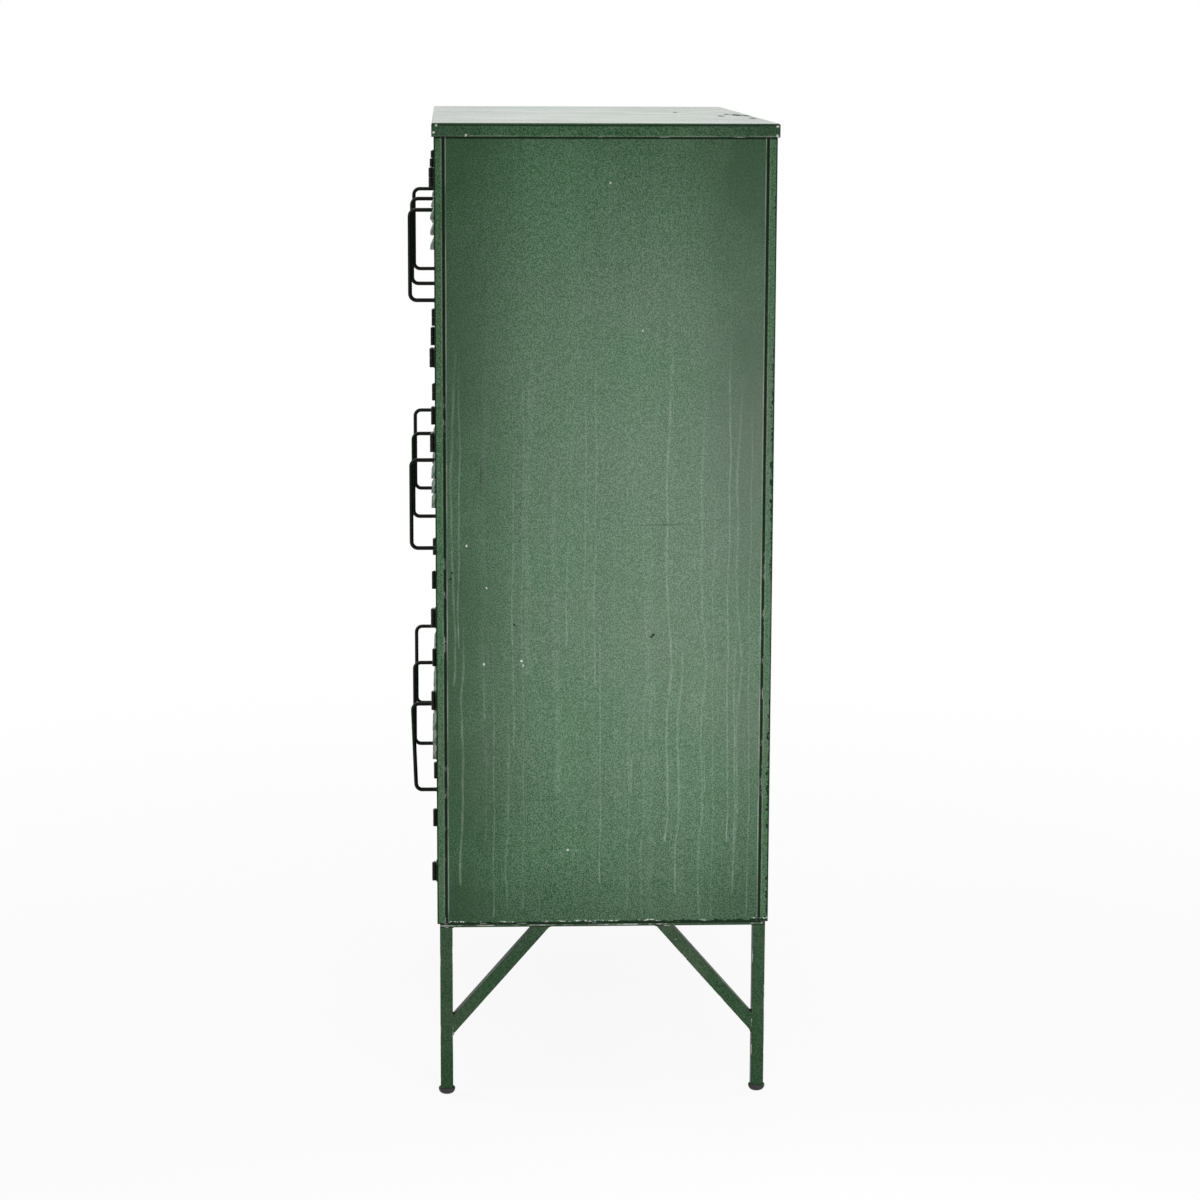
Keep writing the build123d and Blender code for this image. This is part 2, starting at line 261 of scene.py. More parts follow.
class BaseSettings(bpy.types.PropertyGroup):
    """Glides and welds of the leg frame."""

    glide_radius: length("Glide radius", "Widest radius of a domed foot", 10.0 * MM)
    sole_radius: length("Sole radius", "Radius of the flat sole", 4.0 * MM)
    bead_radius: length("Bead radius", "Half the width of a weld bead", 1.5 * MM)
    bead_pitch: length("Bead pitch", "Step between two ripples of a bead", 1.7 * MM)


class StageSettings(bpy.types.PropertyGroup):
    """Camera, lamps and floor."""

    camera_place: bpy.props.FloatVectorProperty(
        name="Camera", description="Where the camera stands", default=(4.156, -0.167, 1.262),
        subtype="TRANSLATION", unit="LENGTH",
    )
    camera_turn: bpy.props.FloatVectorProperty(
        name="Turn", description="Pitch down, roll and yaw towards the rear of the cabinet",
        default=(math.radians(9.955), math.radians(0.213), math.radians(2.672)), subtype="EULER",
    )
    camera_lens: bpy.props.FloatProperty(
        name="Lens", description="Focal length for a 36 mm wide picture", default=97.3, min=1.0
    )
    ambient: share("Ambient", "Light that comes evenly from all round", 0.21)
    floor_colour: colour("Floor", "Pale floor", (0.86, 0.86, 0.86))
    floor_white: share("Floor white", "Share of plain white in the floor near the cabinet", 0.91)


# Meshes

def tubes(rings):
    """Closed skins over rings of points, given as copies by rings by points by axes.

    Neighbouring rings are joined by four-sided faces, and one face closes each end.
    """
    copies, count, sides = rings.shape[:3]
    here = np.arange(copies * count * sides).reshape(copies, count, sides)
    beside = np.roll(here, -1, axis=2)
    walls = np.stack([here[:, :-1], beside[:, :-1], beside[:, 1:], here[:, 1:]], axis=-1)
    ends = np.concatenate([here[:, 0, ::-1], here[:, -1]])
    return rings.reshape(-1, 3), [walls.reshape(-1, 4), ends]


def gather(*skins):
    """Several skins as one list of points and one list of face arrays."""
    starts = np.cumsum([0] + [len(points) for points, _ in skins])
    points = np.concatenate([points for points, _ in skins])
    faces = [block + start for start, (_, blocks) in zip(starts, skins) for block in blocks]
    return points, faces


def make_piece(name, skin, finish, body, crease=math.radians(35)):
    """Puts a skin into a new object at the origin and lets it ride on a body."""
    points, blocks = skin
    mesh = bpy.data.meshes.new(name)
    mesh.from_pydata(points.tolist(), [], [face for block in blocks for face in block.tolist()])
    shell = bmesh.new()
    shell.from_mesh(mesh)
    bmesh.ops.recalc_face_normals(shell, faces=shell.faces)
    shell.to_mesh(mesh)
    shell.free()
    mesh.shade_smooth()
    mesh.set_sharp_from_angle(angle=crease)
    mesh.materials.append(finish)
    piece = bpy.data.objects.new(name, mesh)
    bpy.context.scene.collection.objects.link(piece)
    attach(piece, body)
    return piece


def circle(sides):
    """Angles spread evenly round a turn."""
    return np.arange(sides) * TURN / sides


def wire_handle(foot, span, reach, radius, bend, collar, lean):
    """A round wire from the door, out, along and back to the door.

    The middle line is two legs and a grip joined by quarter circles, its upper half the mirror
    image of the lower, and its lower end may lean in. Each ring of the tube lies across that
    line, and the radius grows by a collar that dies away from the two ends.
    """
    turn = np.linspace(0, QUARTER, BEND_STEPS)
    out, up = reach - radius, span / 2
    leg = np.linspace(0, out - bend, LEG_STEPS)[:-1]
    grip = np.linspace(bend - up, up - bend, GRIP_STEPS)[1:-1]
    lower_away = np.concatenate([leg, out - bend + bend * np.sin(turn)])
    lower_height = np.concatenate([np.full(leg.size, -up), bend * (1 - np.cos(turn)) - up])
    lower_heading = np.concatenate([np.zeros(leg.size), turn])
    away = np.concatenate([lower_away, np.full(grip.size, out), lower_away[::-1]])
    height = np.concatenate([lower_height, grip, -lower_height[::-1]])
    heading = np.concatenate(
        [lower_heading, np.full(grip.size, QUARTER), 2 * QUARTER - lower_heading[::-1]]
    )
    away = away * (1 - lean / out * (0.5 - height / span))
    along = np.concatenate([[0], np.cumsum(np.hypot(np.diff(away), np.diff(height)))])
    to_end = np.minimum(along, along[-1] - along)
    wide = radius + collar * np.exp(-((to_end / collar) ** 2))
    round_wire = circle(WIRE_SIDES)
    across = wide[:, None] * np.cos(round_wire)
    inward = wide[:, None] * np.sin(round_wire)
    rings = np.stack([
        foot[0] + across,
        foot[1] - away[:, None] + np.sin(heading)[:, None] * inward,
        foot[2] + height[:, None] + np.cos(heading)[:, None] * inward,
    ], axis=-1)
    return tubes(rings[None])


def screw_heads(places, radius, height):
    """Domed screw heads on a wall that faces +Y, each with a straight slot.

    A head is a quarter ellipse turned about its middle. Points within the slot's half width of
    one diameter are sunk, with a soft shoulder, and keep a share of their height.
    """
    slot_half, slot_depth, slot_slant = 0.16 * radius, 0.45 * height, 0.35
    soft = 0.6 * slot_half
    kept = 0.3
    rise = np.concatenate([[0.0], np.linspace(0.25, 0.985, DOME_STEPS) * QUARTER])
    around = circle(SCREW_SIDES)
    wide = np.concatenate([[radius], radius * np.cos(rise[1:] - rise[1])])
    lift = height * np.sin(rise)
    x = wide[:, None] * np.cos(around)
    z = wide[:, None] * np.sin(around)
    shoulder = np.clip((slot_half + soft - np.abs(x + slot_slant * z)) / soft, 0, 1)
    y = np.maximum(lift[:, None] - slot_depth * shoulder, kept * lift[:, None])
    head = np.stack([x, y, z], axis=-1)
    return tubes(places[:, None, None, :] + head)


def domed_glides(places, height, radius, sole_radius):
    """Feet turned about a vertical axis: flat sole, quarter-ellipse crown, rounded rim."""
    swell = np.linspace(0, QUARTER, CROWN_STEPS)
    rim = np.linspace(0, QUARTER, RIM_STEPS)[1:]
    crown = 0.80 * height
    fall = height - crown
    wide = np.concatenate([
        [0.4 * sole_radius],
        sole_radius + (radius - sole_radius) * np.sin(swell),
        radius - fall * (1 - np.cos(rim)),
        [0.3 * radius],
    ])
    level = np.concatenate([
        [0.0],
        crown * (1 - np.cos(swell)),
        crown + fall * np.sin(rim),
        [height],
    ])
    around = circle(GLIDE_SIDES)
    foot = np.stack([
        wide[:, None] * np.cos(around),
        wide[:, None] * np.sin(around),
        np.repeat(level[:, None], around.size, axis=1),
    ], axis=-1)
    return tubes(places[:, None, None, :] + foot)


def weld_beads(starts, stops, radius, pitch):
    """Rippled beads along straight seams: a round section whose radius swells at every ripple.

    The section is spanned by two directions across the seam, found with the help of a slanted
    one that no seam has. The radius is drawn in at both ends by the root of a steep curve.
    """
    slanted = np.array([0.31, 0.52, 0.79])
    swelling = 0.16
    least = 0.02
    steps = np.linspace(0, 1, BEAD_RINGS)
    run = stops - starts
    far = np.linalg.norm(run, axis=1)[:, None]
    ahead = run / far
    side = np.cross(ahead, slanted)
    side = side / np.linalg.norm(side, axis=1)[:, None]
    over = np.cross(ahead, side)
    ripple = 1 + swelling * np.abs(np.sin(math.pi * far * steps / pitch))
    ends = np.sqrt(np.clip(1 - (2 * steps - 1) ** 6, least, 1))
    wide = (radius * ripple * ends)[:, :, None, None]
    around = circle(BEAD_SIDES)[:, None]
    section = side[:, None, None] * np.cos(around) + over[:, None, None] * np.sin(around)
    middle = starts[:, None] + run[:, None] * steps[:, None]
    return tubes(middle[:, :, None] + wide * section)


def rounded_outline(half_wide, half_high, corner, sides=32):
    """Points round a rectangle with round corners: a circle pulled apart to four corner centres."""
    angle = circle(sides) + math.pi / sides
    across = np.sign(np.cos(angle)) * (half_wide - corner) + corner * np.cos(angle)
    upward = np.sign(np.sin(angle)) * (half_high - corner) + corner * np.sin(angle)
    return across, upward


def rolled_leaves(axes, side, width, face, knuckle_low, settings):
    """Hinge leaves on a wall that faces -Y: a flat plate, and a tongue rolled round the pin.

    The plate is a rounded rectangle with a broken front edge. The roll is the outline of a
    circle with a tangent to the plate's back, carried along the pin and drawn in at its ends.
    """
    radius, sheet = settings.knuckle_radius, settings.leaf_sheet
    half = settings.leaf_length / 2
    leaf_edge = radius + settings.knuckle_gap
    across, upward = rounded_outline((width - leaf_edge) / 2, half, settings.corner)
    edge_break = 0.25 * sheet
    broken = np.array([0.0, 0.0, 1.0])[:, None] * edge_break
    depth = np.array([face, face - sheet + edge_break, face - sheet])
    plate = np.stack([
        side * (leaf_edge + width) / 2 + across - np.sign(across) * broken,
        np.repeat(depth[:, None], across.size, axis=1),
        upward - np.sign(upward) * broken,
    ], axis=-1)

    first, last = math.pi - math.asin(radius / face), TURN + math.asin((face - sheet) / radius)
    roll = np.linspace(first, last, ROLL_STEPS)
    outline = np.stack([
        np.concatenate([[leaf_edge, 0.0], radius * np.cos(roll), [leaf_edge]]),
        np.concatenate([[face, face], radius * np.sin(roll), [face - sheet]]),
    ])
    knuckle = half - settings.knuckle_gap / 2
    drawn = np.array([0.93, 1.0, 1.0, 0.93])[:, None]
    level = knuckle_low + np.array([0.0, 0.03, 0.97, 1.0]) * knuckle
    rolled = np.stack([
        side * outline[0] * drawn,
        outline[1] * drawn,
        np.repeat(level[:, None], outline.shape[1], axis=1),
    ], axis=-1)
    places = axes[:, None, None, :]
    return gather(tubes(places + plate), tubes(places + rolled))


# Materials

class Nodes:
    """Short calls that add and join the nodes of one tree."""

    def __init__(self, tree):
        self.tree = tree

    def join(self, socket, value):
        """Links an output to a socket, or sets the socket to a plain value."""
        if isinstance(value, bpy.types.NodeSocket):
            self.tree.links.new(value, socket)
        elif hasattr(socket.default_value, "__len__") and len(socket.default_value) == 4:
            socket.default_value = (*value, 1.0)
        else:
            socket.default_value = value

    def node(self, kind, *values, operation=None, **named):
        """A new node, with its first inputs given in order and others by name."""
        node = self.tree.nodes.new(f"ShaderNode{kind}")
        if operation:
            node.operation = operation
        for socket, value in zip(node.inputs, values):
            self.join(socket, value)
        for name, value in named.items():
            self.join(node.inputs[name], value)
        return node

    def parts(self, vector):
        """The three parts of a vector or colour."""
        return self.node("SeparateXYZ", vector).outputs

    def math(self, operation, *values):
        """One step of arithmetic."""
        return self.node("Math", *values, operation=operation).outputs[0]

    def folded(self, operation, values):
        """One kind of arithmetic carried through several values."""
        result = values[0]
        for value in values[1:]:
            result = self.math(operation, result, value)
        return result

    def total(self, *values):
        """Several values added up."""
        return self.folded("ADD", values)

    def product(self, *values):
        """Several values multiplied."""
        return self.folded("MULTIPLY", values)

    def most(self, *values):
        """The largest of several values."""
        return self.folded("MAXIMUM", values)

    def ease(self, value, low, high, start=0.0, stop=1.0):
        """A smooth step from start to stop while the value goes from low to high."""
        node = self.node("MapRange", value, low, high, start, stop)
        node.interpolation_type = "SMOOTHSTEP"
        return node.outputs[0]

    def apart(self, value, place):
        """How far a value is from a place, either way."""
        return self.math("ABSOLUTE", self.math("SUBTRACT", value, place))

    def near(self, value, place, reach):
        """One at a place, easing to nothing a reach away on either side."""
        return self.ease(self.apart(value, place), reach, 0.0)

    def nearest(self, value, place, pitch):
        """How far a value is from the nearest of many places, a pitch apart."""
        return self.math("WRAP", self.math("SUBTRACT", value, place), pitch / 2, -pitch / 2)

    def scaled(self, vector, factor):
        """A vector or colour times a number."""
        return self.node("VectorMath", vector, operation="SCALE", Scale=factor).outputs[0]

    def shifted(self, vector, amount):
        """A vector or colour with the same amount added to each part."""
        return self.node("VectorMath", vector, amount, operation="ADD").outputs[0]

    def chance(self, seed):
        """Three random numbers for each whole number."""
        node = self.node("TexWhiteNoise")
        node.noise_dimensions = "1D"
        self.join(node.inputs["W"], seed)
        return self.parts(node.outputs["Color"])

    def blend(self, factor, first, second):
        """One colour laid over another."""
        node = self.node("Mix")
        node.data_type = "RGBA"
        self.join(node.inputs["Factor"], factor)
        colours = [socket for socket in node.inputs if socket.type == "RGBA"]
        self.join(colours[0], first)
        self.join(colours[1], second)
        return next(socket for socket in node.outputs if socket.type == "RGBA")


class Finish(Nodes):
    """The nodes of one material, with the place on the object and its three parts at hand.

    Noise lies about a half, so patches are where it eases past a level near that.
    """

    def __init__(self, name):
        self.material = bpy.data.materials.new(name)
        self.material.use_nodes = True
        super().__init__(self.material.node_tree)
        self.shader = self.tree.nodes["Principled BSDF"]
        self.place = self.node("TexCoord").outputs["Object"]
        self.x, self.y, self.z = self.parts(self.place)

    def set(self, **values):
        """Feeds the shader's own sockets, named with underscores for spaces."""
        for name, value in values.items():
            self.join(self.shader.inputs[name.replace("_", " ")], value)

    def stretched(self, factors, offset=(0.0, 0.0, 0.0)):
        """The place on the object, scaled along each axis and moved."""
        return self.node("VectorMath", self.place, factors, offset, operation="MULTIPLY_ADD").outputs[0]

    def noise(self, scale, detail=2.0, roughness=0.5, vector=None):
        """Cloudy noise, with a number of features per metre."""
        node = self.node(
            "TexNoise", Vector=vector or self.place, Scale=scale, Detail=detail, Roughness=roughness
        )
        return node.outputs[0]

    def cells(self, scale):
        """Distance to the nearest scattered point, and three random numbers of that point."""
        node = self.node("TexVoronoi", Vector=self.place, Scale=scale)
        return node.outputs["Distance"], self.parts(node.outputs["Color"])

    def spots(self, places, ragged, longer=1.0):
        """Ragged spots, each given by its middle and its radius, and some times longer along X."""
        squeezed = self.stretched((1 / longer, 1.0, 1.0))
        found = []
        for x, y, z, radius in places:
            away = self.node("VectorMath", squeezed, (x / longer, y, z), operation="DISTANCE")
            wide = self.ease(ragged, 0.3, 0.7, 0.5 * radius, 1.4 * radius)
            found.append(self.math("LESS_THAN", away.outputs["Value"], wide))
        return self.most(*found)

    def edges(self, radius):
        """Nearness to a sharp edge: how far the normal, smoothed over a radius, leans away."""
        bevel = self.node("Bevel", Radius=radius)
        bevel.samples = 6
        flat = self.node("NewGeometry").outputs["True Normal"]
        likeness = self.node("VectorMath", bevel.outputs[0], flat, operation="DOT_PRODUCT")
        return self.math("SUBTRACT", 1.0, likeness.outputs["Value"])

    def bump(self, height):
        """Small relief, with its height in metres."""
        self.set(Normal=self.node("Bump", Distance=1.0, Height=height).outputs[0])


def water_runs(finish, spacing, width, seed):
    """Thin upright runs, one at most in each strip of the side.

    The depth is cut into strips. Each strip draws its own line's place, strength, upper end and
    lower end. A slow noise makes the line wander, a finer one makes it uneven, and the film
    gathers towards its lower end.
    """
    wander = finish.noise(8.0, 2.0, vector=finish.stretched((0.15, 0.15, 1.0), (seed, seed, 0.0)))
    uneven = finish.ease(finish.noise(46.0, 2.0), 0.35, 0.65, 0.55, 1.15)
    strip = finish.math("MULTIPLY_ADD", finish.y, 1 / spacing, seed)
    strip = finish.math("MULTIPLY_ADD", wander, 0.9, strip)
    number = finish.math("FLOOR", strip)
    within = finish.math("SUBTRACT", strip, number)
    spot, strength, top = finish.chance(number)
    low = finish.chance(finish.math("ADD", number, 57.3))[0]
    middle = finish.ease(spot, 0.0, 1.0, 0.2, 0.8)
    line = finish.ease(finish.apart(within, middle), width / spacing, 0.25 * width / spacing)
    upper = finish.ease(top, 0.0, 1.0, *RUN_TOPS)
    lower = finish.ease(low, 0.0, 1.0, *RUN_ENDS)
    below = finish.ease(finish.math("SUBTRACT", upper, finish.z), 0.0, RUN_FADE)
    to_end = finish.math("SUBTRACT", finish.z, lower)
    gathered = finish.product(
        finish.ease(to_end, 0.0, 4.0 * MM), finish.ease(to_end, RUN_DROP, 0.0, 1.0, 1.6)
    )
    return finish.product(below, gathered, line, uneven, finish.ease(strength, 0.1, 0.9))


def seam_marks(finish, wear):
    """Painted shadow in the upright joints of the sides, painted highlight beside them, and painted shade
    over the outer bends, reaching further where paint has flaked off the rear bend.

    A point's distance from the middle of the depth says where it lies, alike at front and rear.
    A joint is what lies between the panel's fold and the strip's edge, and a little more.
    """
    out = finish.apart(finish.y, MIDDLE)
    strip_edge = HALF_DEPTH - wear.strip
    fold = strip_edge - wear.seam - wear.sheet
    outer = finish.math("GREATER_THAN", finish.math("ABSOLUTE", finish.x), SIDE_FACE - 2.5 * wear.sheet)
    patchy = finish.ease(finish.noise(16.0, 4.0, 0.6), 0.38, 0.62, 0.25, 1.0)
    # Painted shadow: the joint and the panel's fold beside it are laid dark
    joint = finish.product(
        finish.ease(out, fold - 0.6 * MM, fold - 0.3 * MM),
        finish.ease(out, strip_edge + 0.8 * MM, strip_edge + 0.5 * MM),
    )
    flakes = finish.product(
        finish.math("GREATER_THAN", finish.y, MIDDLE),
        finish.ease(finish.noise(9.0, 3.0, 0.6), 0.46, 0.58),
        finish.ease(finish.noise(260.0, 3.0, 0.65), 0.46, 0.62, 0.0, wear.flake),
    )
    # Painted shade over the outer bends, made ragged and wider at the rear where paint has flaked
    bend = finish.ease(finish.total(out, flakes), HALF_DEPTH - 1.9 * MM, HALF_DEPTH - 1.2 * MM)
    # Painted highlight: pale lines on the panel's fold and beside the strip's edge
    pale = finish.most(
        finish.product(finish.near(out, fold - 1.4 * MM, 0.9 * MM), 0.36),
        finish.product(finish.near(out, strip_edge + 1.6 * MM, 0.8 * MM), 0.16),
    )
    return finish.product(finish.most(joint, bend), outer), finish.product(pale, patchy, outer)


def border_marks(finish, wear):
    """Rust that climbs raggedly from the carcass's lower edge over a painted shadow line along the seam,
    chips along it, and a painted shadow under the lid.

    The height above the edge, less a ragged climb that grows to the rear, says where the rust ends.
    """
    ragged = finish.noise(110.0, 4.0, 0.65)
    patches = finish.noise(24.0, 3.0, 0.6)
    height = finish.math("SUBTRACT", finish.z, CARCASS_BOTTOM)
    climb = finish.product(finish.ease(ragged, 0.35, 0.70), finish.ease(finish.y, -0.1, 0.2, 0.5, 1.0))
    above = finish.math("MULTIPLY_ADD", climb, -wear.rust_climb, height)
    # Rust, and painted shadow of the seam over the base bars: a dark line stays along the whole lower edge
    rust = finish.ease(above, 1.5 * MM, 0.9 * MM)
    chips = finish.product(
        finish.near(above, 1.9 * MM, 0.9 * MM),
        finish.ease(patches, 0.44, 0.56),
        finish.ease(finish.noise(300.0, 2.0), 0.48, 0.56),
    )
    # Painted shadow under the lid's skirt
    lid_shadow = finish.ease(finish.z, SKIRT_LOW - wear.lid_shade, SKIRT_LOW - 0.6 * wear.lid_shade)
    return finish.most(rust, lid_shadow), chips


def carcass_marks(finish, wear):
    """The marks of the sheets between the base frame and the lid."""
    seam_dark, seam_pale = seam_marks(finish, wear)
    border_dark, border_pale = border_marks(finish, wear)
    return finish.most(seam_dark, border_dark), finish.most(seam_pale, border_pale)


def side_marks(finish, wear):
    """The marks of the carcass, with the chips and the scratches of the right side.

    A scratch is narrow about its line and eases out along it. The level one wanders by a slow noise.
    """
    ragged = finish.noise(520.0, 3.0, 0.6)
    dark, pale = carcass_marks(finish, wear)
    chips = finish.spots(PALE_CHIPS, ragged)
    fine_lines = finish.noise(1.0, 2.0, 0.5, finish.stretched((6.0, 6.0, 400.0)))
    scratches = finish.ease(fine_lines, 0.74, 0.80, 0.0, 0.05)
    right_side = finish.math("GREATER_THAN", finish.x, 0.0)
    depth, height, half_length = UPRIGHT_SCRATCH
    upright = finish.product(
        finish.near(finish.y, depth, SCRATCH_HALF), finish.near(finish.z, height, half_length)
    )
    depth, height, half_length = LEVEL_SCRATCH
    wander = finish.math("MULTIPLY_ADD", finish.noise(18.0, 2.0), SCRATCH_WANDER, finish.z)
    level = finish.product(
        finish.near(wander, height + SCRATCH_WANDER / 2, SCRATCH_HALF),
        finish.near(finish.y, depth, half_length),
    )
    lines = finish.product(finish.most(upright, level), right_side, 0.75)
    # The sides grow darker towards the bottom
    overlay = finish.ease(finish.z, CARCASS_BOTTOM + wear.grime, CARCASS_BOTTOM, 0.0, wear.low_darkening)
    dark = finish.most(dark, finish.spots(DARK_CHIPS, ragged), lines, overlay)
    return dark, finish.most(pale, chips, scratches)


def shaded_borders(finish, wear):
    """How much darker and deeper green the enamel of a side is painted at the front, at the rear and under
    the lid: painted shade where the sheen falls off towards the borders.

    Each border gives a smooth step, the upper rear corner one more, which starts a third of the
    way up, and noise makes them uneven.
    """
    third_up = (2 * CARCASS_BOTTOM + SKIRT_LOW) / 3
    borders = finish.total(
        finish.ease(finish.y, FRONT + 1.4 * wear.grime, FRONT + wear.strip, 0.0, wear.front_border),
        finish.ease(finish.y, REAR - wear.grime, REAR - wear.strip, 0.0, wear.rear_border),
        finish.ease(finish.z, SKIRT_LOW - wear.grime, SKIRT_LOW, 0.0, wear.lid_border),
        finish.product(
            finish.ease(finish.y, REAR - 1.6 * wear.grime, REAR - wear.strip),
            finish.ease(finish.z, third_up, SKIRT_LOW - 2 * wear.grime, 0.0, wear.corner_border),
        ),
    )
    uneven = finish.ease(finish.noise(9.0, 4.0, 0.6), 0.3, 0.6, 0.7, 1.15)
    return finish.math("MINIMUM", finish.product(borders, uneven), wear.border_limit)


def lid_marks(finish, wear):
    """Painted dark reflection over the lid's bend, painted shadow along the skirt's lower edge, darker
    towards the front and rear, a pale worn line above the skirt's lower edge, rust and chips.
    """
    ragged = finish.noise(420.0, 3.0, 0.6)
    patches = finish.ease(finish.noise(22.0, 3.0, 0.6), 0.40, 0.60, 0.3, 1.0)
    # Painted dark reflection over the lid's bend
    bend = finish.near(finish.z, LID_TOP - wear.lid_bend, 2.2 * MM)
    # Painted shadow along the skirt's lower edge
    hem = finish.ease(finish.z, SKIRT_LOW + 0.5 * MM, SKIRT_LOW + 0.2 * MM)
    worn = finish.product(finish.near(finish.z, SKIRT_LOW + wear.hem_line, 1.0 * MM), patches, 0.22)
    # The lid grows darker towards its front and rear
    overlay = finish.ease(finish.apart(finish.y, MIDDLE), 0.4 * HALF_DEPTH, HALF_DEPTH, 0.0, wear.lid_end_darkening)
    dark = finish.most(bend, hem, overlay, finish.spots(LID_RUST, ragged, longer=RUST_STRETCH))
    return dark, finish.most(worn, finish.spots(RIM_CHIPS, ragged))


def bar_marks(finish, wear):
    """Painted shadow in the gap under the carcass, a dark line along the bars' lower edge, and paint knocked
    off the upper edge of the base bars, most of all towards the doors.
    """
    patches = finish.noise(30.0, 4.0, 0.65)
    # Painted shadow: the bars' upper edge under the carcass is laid dark
    joint = finish.ease(finish.z, CARCASS_BOTTOM - 2.2 * MM, CARCASS_BOTTOM - 1.7 * MM)
    edge = finish.near(finish.z, CARCASS_BOTTOM - wear.bar_edge, 1.1 * MM)
    lower = finish.near(finish.z, BAR_LOW, 0.9 * MM)
    knocked = finish.ease(patches, finish.ease(finish.y, -0.05, 0.1, 0.42, 0.56), 0.64)
    return finish.most(joint, lower), finish.product(edge, knocked, 0.8)


def door_marks(finish, wear):
    """Paint worn pale with a painted highlight at the ends of the louvres, painted shade on their lips, and
    the grime of hands.

    The doors are alike, so a place is measured from the nearest column and the nearest row, and
    a louvre is what stands proud of the doors' front.
    """
    ragged = finish.noise(260.0, 3.0, 0.6)
    patches = finish.noise(45.0, 4.0, 0.65)
    proud = finish.math("SUBTRACT", FRONT, finish.y)
    from_middle = finish.math("ABSOLUTE", finish.nearest(finish.x, DOOR_X, COLUMN_PITCH))
    # Worn paint and painted highlight at the louvre ends
    tips = finish.product(
        finish.near(from_middle, wear.louvre_half, 4.5 * MM),
        finish.ease(proud, 0.8 * MM, 1.6 * MM),
        finish.ease(ragged, 0.44, 0.56, 0.1, 0.9),
    )
    hands = finish.product(
        finish.near(finish.nearest(finish.x, HANDLE_X, COLUMN_PITCH), 0.0, wear.hand_reach),
        finish.near(finish.nearest(finish.z, HANDLE_Z, ROW_PITCH), 0.0, 1.6 * wear.hand_reach),
        finish.ease(patches, 0.35, 0.65, 0.15, 0.7),
    )
    # Painted shade on the louvres' outermost lips
    rims = finish.product(
        finish.ease(proud, 3.9 * MM, 4.4 * MM), finish.ease(patches, 0.42, 0.52, 0.2, 0.9)
    )
    return finish.most(hands, rims), tips


def scattered_chips(finish, ragged, specks):
    """Small ragged chips about scattered points, few or many, and which of them are fresh.

    Each point draws whether it is chipped and how far the chip reaches.
    """
    distance, (pick, kind, _) = finish.cells(CHIP_POINTS)
    reach = finish.product(
        finish.ease(pick, 1.0 - CHIP_SHARE * specks, 1.0, 0.0, CHIP_REACH),
        finish.ease(ragged, 0.3, 0.7, 0.4, 1.6),
    )
    return finish.math("LESS_THAN", distance, reach), finish.math("GREATER_THAN", kind, OLD_CHIPS)


